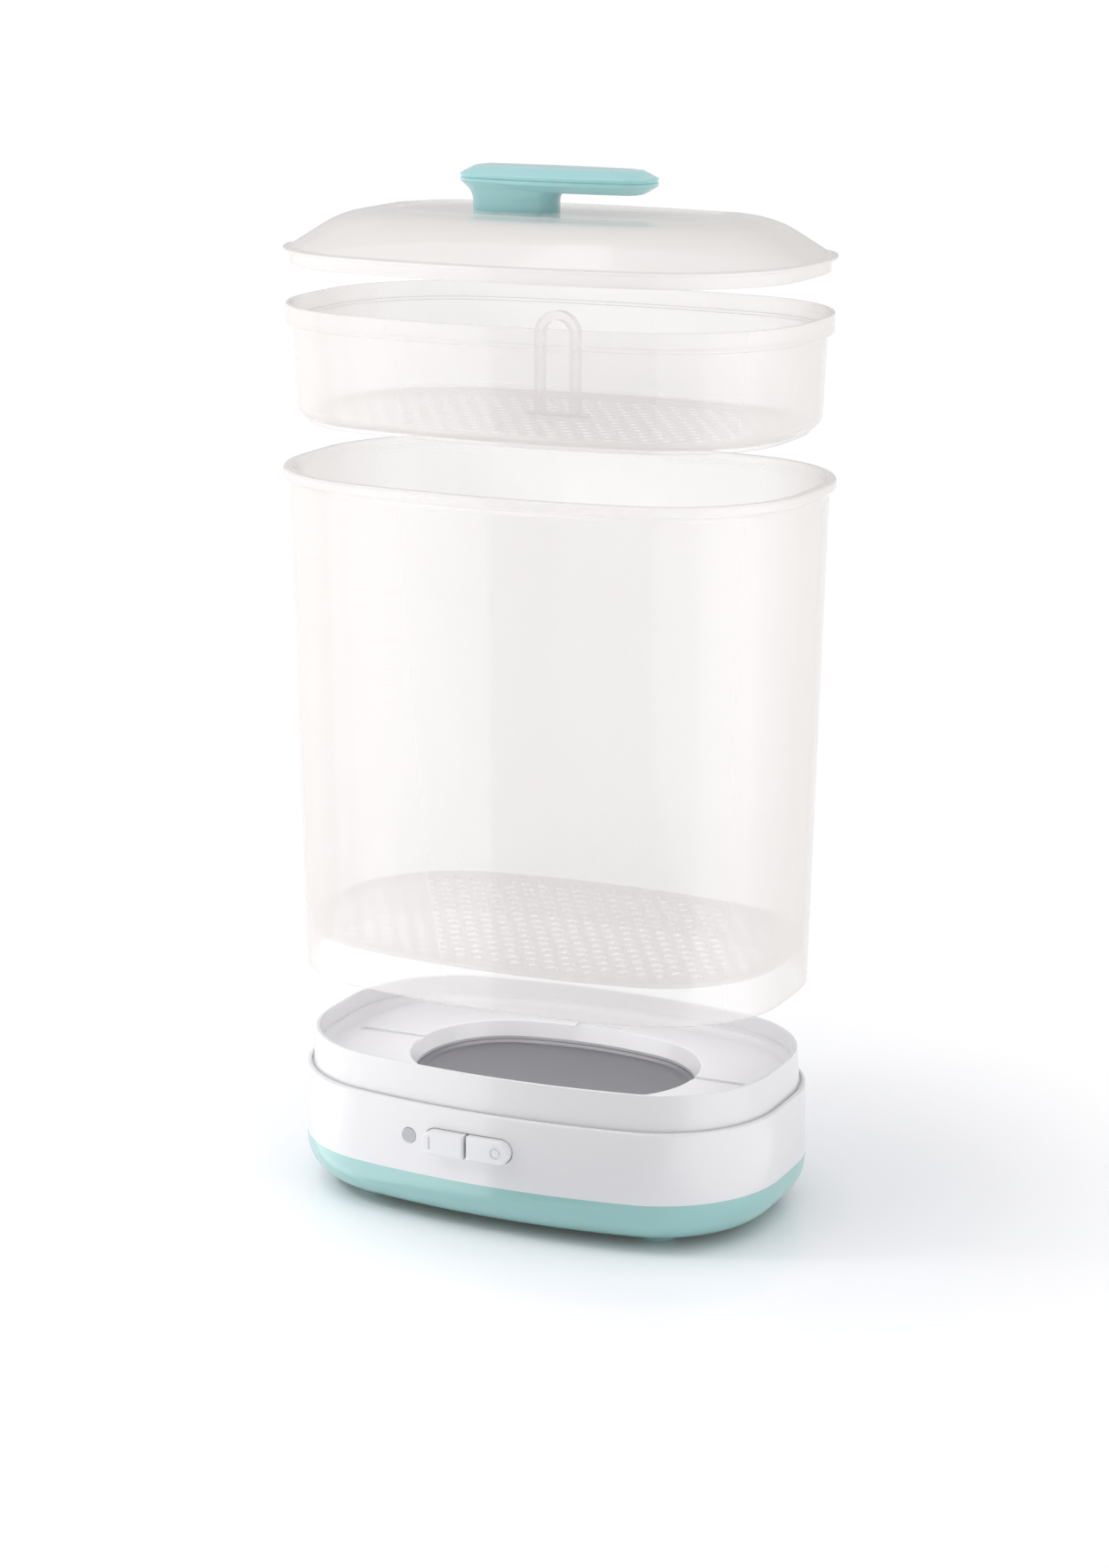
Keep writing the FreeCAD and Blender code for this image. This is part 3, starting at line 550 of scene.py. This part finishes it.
def makeSky(size):
    room = Finish(bpy.data.worlds.new("studioSky"))
    where = room.node("ShaderNodeTexCoord", {}, {}, "Generated")
    side = room.node("ShaderNodeVectorMath", {"operation": "DOT_PRODUCT"},
                     {0: where, 1: heading(size["darkSide"])}, "Value")
    edge = math.cos(math.radians(size["darkSpread"]))
    dark = room.ramp(side, edge - size["darkSoftness"], edge + size["darkSoftness"])
    level = (1.0 - dark * (1.0 - size["darkLevel"])) * size["level"]
    straight = room.node("ShaderNodeLightPath", {}, {}, "Is Camera Ray")
    strength = level + straight * (size["seen"] - level)
    glow = room.node("ShaderNodeBackground", {}, {"Color": size["colour"], "Strength": strength})
    room.node("ShaderNodeOutputWorld", {}, {"Surface": glow})
    scene.world = room.owner


makeSky(studioRoom)

# each lamp: where it stands, its width and height, how bright its face is, the height it aims at if not
# its own, whether it shows in reflections, and what it alone lights; one that hangs overhead stands a hair
# off the middle, which settles its turn
lights = {
    "leftWash": {"azimuth": -158, "distance": 0.60, "height": 0.30, "size": (0.30, 0.60), "glow": 1.6,
                 "shown": False},
    "rightWash": {"azimuth": -22, "distance": 0.70, "height": 0.30, "size": (0.30, 0.60), "glow": 1.15,
                  "shown": False},
    "keyLight": {"azimuth": -146, "distance": 0.60, "height": 0.55, "size": (0.11, 0.11), "glow": 16.0,
                 "shown": False, "aim": 0.1},
    "topLeft": {"azimuth": -150, "distance": 0.60, "height": 1.5, "size": (1.0, 1.0), "glow": 1.3,
                "aim": 0.2},
    "topRight": {"azimuth": 5, "distance": 0.75, "height": 1.4, "size": (0.8, 0.8), "glow": 1.1,
                 "aim": 0.2},
    "floorLight": {"azimuth": 90, "distance": 0.01, "height": 2.2, "size": (5.0, 5.0), "glow": 0.50,
                   "aim": 0.0, "only": ("studioFloor",)},
    "deckLight": {"azimuth": 90, "distance": 0.001, "height": 0.122, "size": (0.20, 0.11), "glow": 0.82,
                  "aim": 0.0, "only": ("upper_housing", "heating_plate", "plate_gasket")},
}


def makeLight(name, look):
    lamp = bpy.data.lights.new(name, "AREA")
    lamp.shape = "RECTANGLE"
    lamp.size, lamp.size_y = look["size"]
    lamp.energy = look["glow"] * math.pi * lamp.size * lamp.size_y
    place = heading(look["azimuth"]) * look["distance"] + Vector((0, 0, look["height"]))
    aim = Vector((0, 0, look.get("aim", look["height"])))
    made = bpy.data.objects.new(name, lamp)
    made.location = place
    made.rotation_euler = (aim - place).to_track_quat("-Z", "Y").to_euler()
    made.visible_camera = False
    made.visible_glossy = look.get("shown", True)
    scene.collection.objects.link(made)
    if "only" in look:
        lit = bpy.data.collections.new(name + "Lit")
        for part in look["only"]:
            lit.objects.link(bpy.data.objects[part])
        made.light_linking.receiver_collection = lit


for name, look in lights.items():
    makeLight(name, look)

# cards that only show as reflections: where each starts and the way it lies, its near and far edge, its
# two sides and its glow; each lies on the floor and turns up at its far edge
cardSheet = {"lift": 0.001, "top": 0.44}
frontWay = {"from": (0, -0.095), "azimuth": -114.7}
cards = {
    "leftCard": {**frontWay, "near": 0.03, "far": 0.45, "side": (0.0, 0.46), "glow": 2.3},
    "leftStrip": {**frontWay, "near": 0.05, "far": 0.44, "side": (0.185, 0.255), "glow": 3.0,
                  "lift": 0.002},
    "rightCard": {"from": (0.12, -0.075), "azimuth": -5, "near": 0.08, "far": 0.42, "side": (-0.19, 0.26),
                  "glow": 1.7},
    "frontCard": {**frontWay, "near": 0.03, "far": 0.62, "side": (-0.62, 0.0), "glow": 0.05},
}


def makeCard(name, size):
    # only the card's front glows, and its back is clear
    finish = Finish(bpy.data.materials.new(name))
    glow = finish.node("ShaderNodeEmission", {}, {"Color": (1.0, 1.0, 1.0, 1.0), "Strength": size["glow"]})
    clear = finish.node("ShaderNodeBsdfTransparent", {}, {})
    behind = finish.node("ShaderNodeNewGeometry", {}, {}, "Backfacing")
    blend = finish.node("ShaderNodeMixShader", {}, {0: behind, 1: glow, 2: clear})
    finish.node("ShaderNodeOutputMaterial", {}, {"Surface": blend})
    out = heading(size["azimuth"])
    left = Vector((out.y, -out.x, 0))
    start = Vector((*size["from"], size.get("lift", cardSheet["lift"])))
    rows = [(size["near"], 0), (size["far"], 0), (size["far"], cardSheet["top"])]
    points = [start + out * reach + left * side + Vector((0, 0, rise))
              for reach, rise in rows for side in size["side"]]
    card = makeSheet(name, points, [(0, 1, 3, 2), (2, 3, 5, 4)], finish.owner)
    for ray in ("camera", "diffuse", "shadow", "transmission"):
        setattr(card, "visible_" + ray, False)


for name, size in cards.items():
    makeCard(name, size)

viewpoint = {
    "place": (0.77606, -1.69160, 0.70017), "azimuth": 24.67, "elevation": 14.30, "roll": 0.25,
    "lens": 82.81, "sensor": 36, "reach": 60,
}


def makeCamera(size):
    rise = math.radians(size["elevation"])
    right = heading(size["azimuth"])
    back = Vector((right.y * math.cos(rise), -right.x * math.cos(rise), math.sin(rise)))
    level = Matrix((right, back.cross(right), back)).transposed()
    tilted = level @ Matrix.Rotation(math.radians(size["roll"]), 3, "Z")
    lens = bpy.data.cameras.new("studioCamera")
    lens.lens = size["lens"]
    lens.sensor_width = size["sensor"]
    lens.clip_end = size["reach"]
    camera = bpy.data.objects.new("studioCamera", lens)
    camera.matrix_world = Matrix.Translation(size["place"]) @ tilted.to_4x4()
    scene.collection.objects.link(camera)
    scene.camera = camera


makeCamera(viewpoint)
print("studio made")
